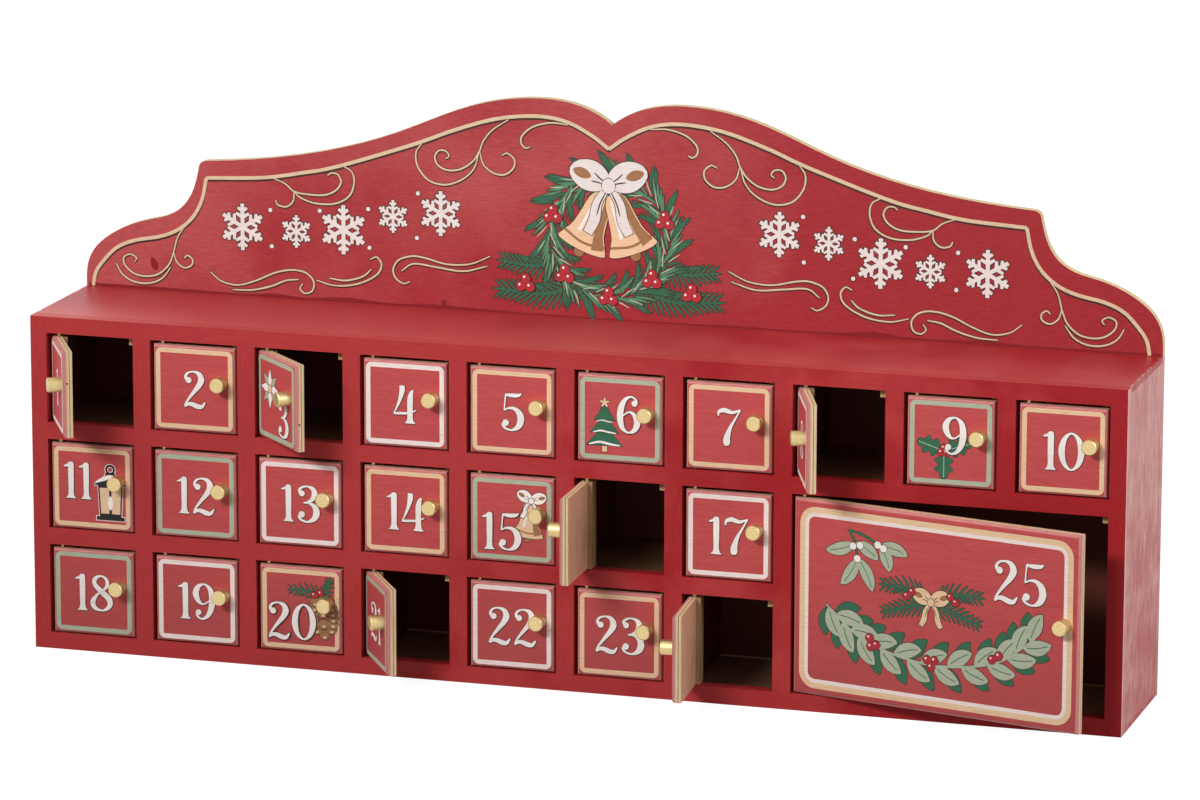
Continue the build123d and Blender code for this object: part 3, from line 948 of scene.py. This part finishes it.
def printed_leaf(tree, place, door):
    """Red print on a birch ply leaf, with painted shade lower down: pink round-over, bare edge, washed
    back.

    The grain is laid on the closed door, so the Mapping turns the leaf back about its hinge.
    """
    shift = -(Matrix.Rotation(door.angle, 3, "Z") @ Vector(door.pivot))
    turned = {"Vector": place, "Rotation": (0.0, 0.0, door.angle), "Location": shift}
    closed = add(tree, "Mapping", turned)["Vector"]
    streaks = grain(tree, closed, "X", 0.45, 10)
    broad = grain(tree, closed, "X", 3.0, 12)
    upright = grain(tree, closed, "Z", 1.2, 12)
    tones = ((0.34, "#B34344"), (0.52, "#BA4A4A"), (0.7, "#C05352"))
    colour = add(tree, "ValToRGB", {"Fac": streaks}, tones)["Color"]
    colour = laid_over(tree, colour, "#A93739", broad, 0.48, 0.75, most=0.5)
    # Painted shade: the red darkens towards the floor, where less light falls
    height = add(tree, "SeparateXYZ", {"Vector": place})["Z"]
    colour = laid_over(tree, colour, "#9C4242", height, case_top / 2, 0.0, most=0.65)
    depth = add(tree, "SeparateXYZ", {"Vector": closed})["Y"]
    for (start, end), relief, pale, dark in (
        (round_over, streaks, "#CB8682", "#B56E6A"),
        (bare_edge, upright, "#DEC49E", "#C6A67C"),
        (leaf_back, upright, "#D0A184", "#B98B6E"),
        (hinge_rail, upright, "#A58460", "#8A6A49"),
    ):
        under = add(tree, "ValToRGB", {"Fac": relief}, ((0.35, pale), (0.65, dark)))["Color"]
        colour = laid_over(tree, colour, under, depth, door.front + start * mm, door.front + end * mm)
    ply = {0: depth, 1: door.front + glue_line * mm, 2: glue_half * mm}
    glued = add(tree, "Math", ply, operation="COMPARE")[0]
    colour = laid_over(tree, colour, "#7D6142", glued, 0.0, 1.0)
    surface(tree, colour, streaks, 0.46, 0.6, 0.012, dry_skin)


def screen_ink(tree, place, full, worn_and_sheen):
    """Opaque screen-printing ink on grained wood: flat colour broken by faint level streaks."""
    scale = (1 / (5 * mm), 1 / (5 * mm), 1 / (0.5 * mm))
    stretched = add(tree, "Mapping", {"Vector": place, "Scale": scale})["Vector"]
    streaks = add(tree, "TexNoise", {"Vector": stretched, "Scale": 1.0, "Detail": 4.0})["Fac"]
    colour = add(tree, "ValToRGB", {"Fac": streaks}, ((0.5, full), (0.75, worn_and_sheen)))["Color"]
    surface(tree, colour, streaks, 0.48, 0.62, 0.01, dry_skin)


ink_colours = {
    "white": ("#F0E7E1", "#E5D5CE"),
    "blush": ("#ECDBD4", "#DFC7BF"),
    "chalk": ("#DED5D0", "#CFC3BC"),
    "tan": ("#E3BF9A", "#D2A880"),
    "straw": ("#D2BA99", "#C0A582"),
    "sage": ("#ABB199", "#989E85"),
    "fir": ("#4D7F5E", "#5B8768"),
    "green": ("#2C5F45", "#3B6B50"),
    "dark": ("#36211A", "#4C2C21"),
    "black": ("#14100F", "#2A1815"),
    "brown": ("#9A6E4A", "#855A3B"),
    "berry": ("#A92A33", "#97232B"),
    "paint": ("#781016", "#84171D"),
}
inks = {
    name: new_material(f"screen_ink_{name}", screen_ink, *colours) for name, colours in ink_colours.items()
}
doors = [Door(joint) for joint in frame["joints"]]
knobs = [name for name in frame["nodes"] if name.startswith("knob_")]
finishes = [
    (["face_rails"], "satin_red_rails", satin_red_rails),
    (["face_stiles"], "satin_red_stiles", satin_red_stiles),
    (["top_board"], "satin_red_top", satin_red_board, -1),
    (["bottom_board"], "satin_red_bottom", satin_red_board, 1),
    (["end_panels"], "thin_red_wash", thin_red_wash),
    (["back_board"], "printed_birch_plywood", printed_header),
    (["dividers", "shelves"], "dark_stained_boards", dark_stained_boards),
    (["door_stops"], "bare_softwood", bare_softwood),
    (["hinge_pins"], "drawn_brass_wire", satin_brass, 0.6),
    (knobs, "turned_brass", satin_brass, 0.4),
]
finishes += [([door.name], f"printed_birch_leaf_{door.number:02d}", printed_leaf, door) for door in doors]
for nodes, *look in finishes:
    material = new_material(*look)
    for name in nodes:
        slots = frame["nodes"][name].data.materials
        slots.clear()
        slots.append(material)

# Prints

large_door = max(doors, key=lambda door: door.width)
large_door_print(large_door)
for door in doors:
    if door is not large_door:
        small_door_print(door)

board_low, board_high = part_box("back_board")
header_size = ((board_high.x - board_low.x) / mm, (board_high.z - case_top) / mm)
header_corner = np.array((board_low.x, board_low.y, case_top))
print_corner = header_corner + mm * np.array((header_print_shift[0], 0.0, header_print_shift[1]))
header, header_print = (
    Side("case", "header_paint", corner, (1.0, 0.0, 0.0), *header_size)
    for corner in (header_corner, print_corner)
)
header_paint_runs(header)
for print_part in (header_scrollwork, header_flakes, header_wreath):
    print_part(header_print)

# Stage: a white floor, soft light and the camera

paper_lift = 0.86
sky_light = 0.34
floor_half = 6.0


def seen_directly(tree):
    """One for what the camera sees itself, in a mirror or through glass."""
    rays = add(tree, "LightPath", {})
    seen = rays["Is Camera Ray"]
    for other in ("Is Glossy Ray", "Is Transmission Ray"):
        seen = add(tree, "Math", {0: seen, 1: rays[other]}, operation="MAXIMUM")[0]
    return seen


def white_paper(tree, place):
    """Matt paper that keeps the object's soft shadow, and is lifted to white where it is seen."""
    fibres = add(tree, "TexNoise", {"Vector": place, "Scale": 1 / (8 * mm), "Detail": 3.0})["Fac"]
    colour = add(tree, "ValToRGB", {"Fac": fibres}, ((0.3, "#8C8C8C"), (0.7, "#909090")))["Color"]
    lift = add(tree, "MapRange", {"Value": seen_directly(tree), "To Max": paper_lift})["Result"]
    lifted = {"Emission Color": "#FFFFFF", "Emission Strength": lift}
    surface(tree, colour, fibres, 0.9, 0.95, 0.02, lifted)


corners = [(x * floor_half, y * floor_half, 0.0) for x, y in ((-1, -1), (1, -1), (1, 1), (-1, 1))]
floor = put_mesh("floor", corners, [(0, 1, 2, 3)], new_material("white_paper", white_paper))

world = bpy.data.worlds.new("studio")
bpy.context.scene.world = world
world.use_nodes = True
sky = world.node_tree
sky.nodes.clear()
sky_level = add(sky, "MapRange", {"Value": seen_directly(sky), "To Min": sky_light})["Result"]
backdrop = add(sky, "Background", {"Color": "#FFFFFF", "Strength": sky_level})
add(sky, "OutputWorld", {"Surface": backdrop["Background"]})


def softbox(name, place, target, width, depth, watts, spread):
    """A lamp that looks at a point, with its light held within a spread in degrees by a grid."""
    lamp = bpy.data.lights.new(name, "AREA")
    lamp.shape = "RECTANGLE"
    lamp.size = width
    lamp.size_y = depth
    lamp.energy = watts
    lamp.spread = radians(spread)
    holder = put(name, lamp)
    holder.location = place
    holder.rotation_euler = (Vector(target) - Vector(place)).to_track_quat("-Z", "Y").to_euler()


softbox("key", (-0.68, -1.2, 0.92), (-0.15, 0.0, 0.285), 1.2, 0.22, 2.2, 40)
softbox("side", (1.35, -0.2, 0.8), (0.23, 0.0, 0.1), 0.6, 0.6, 5.5, 120)

# Camera: the photograph's direction and distance
camera_place = Vector((0.7518, -2.4475, 0.6961))
camera_azimuth = radians(16.982)
camera_elevation = radians(12.784)
camera_roll = radians(0.149)
sensor_width = 36.0
lens_length = 191.33

lens = bpy.data.cameras.new("camera")
lens.sensor_width = sensor_width
lens.lens = lens_length
camera = put("camera", lens)
camera.matrix_world = (
    Matrix.Translation(camera_place)
    @ Matrix.Rotation(camera_azimuth, 4, "Z")
    @ Matrix.Rotation(pi / 2 - camera_elevation, 4, "X")
    @ Matrix.Rotation(camera_roll, 4, "Z")
)
bpy.context.scene.camera = camera
bpy.context.scene.view_settings.view_transform = "Standard"
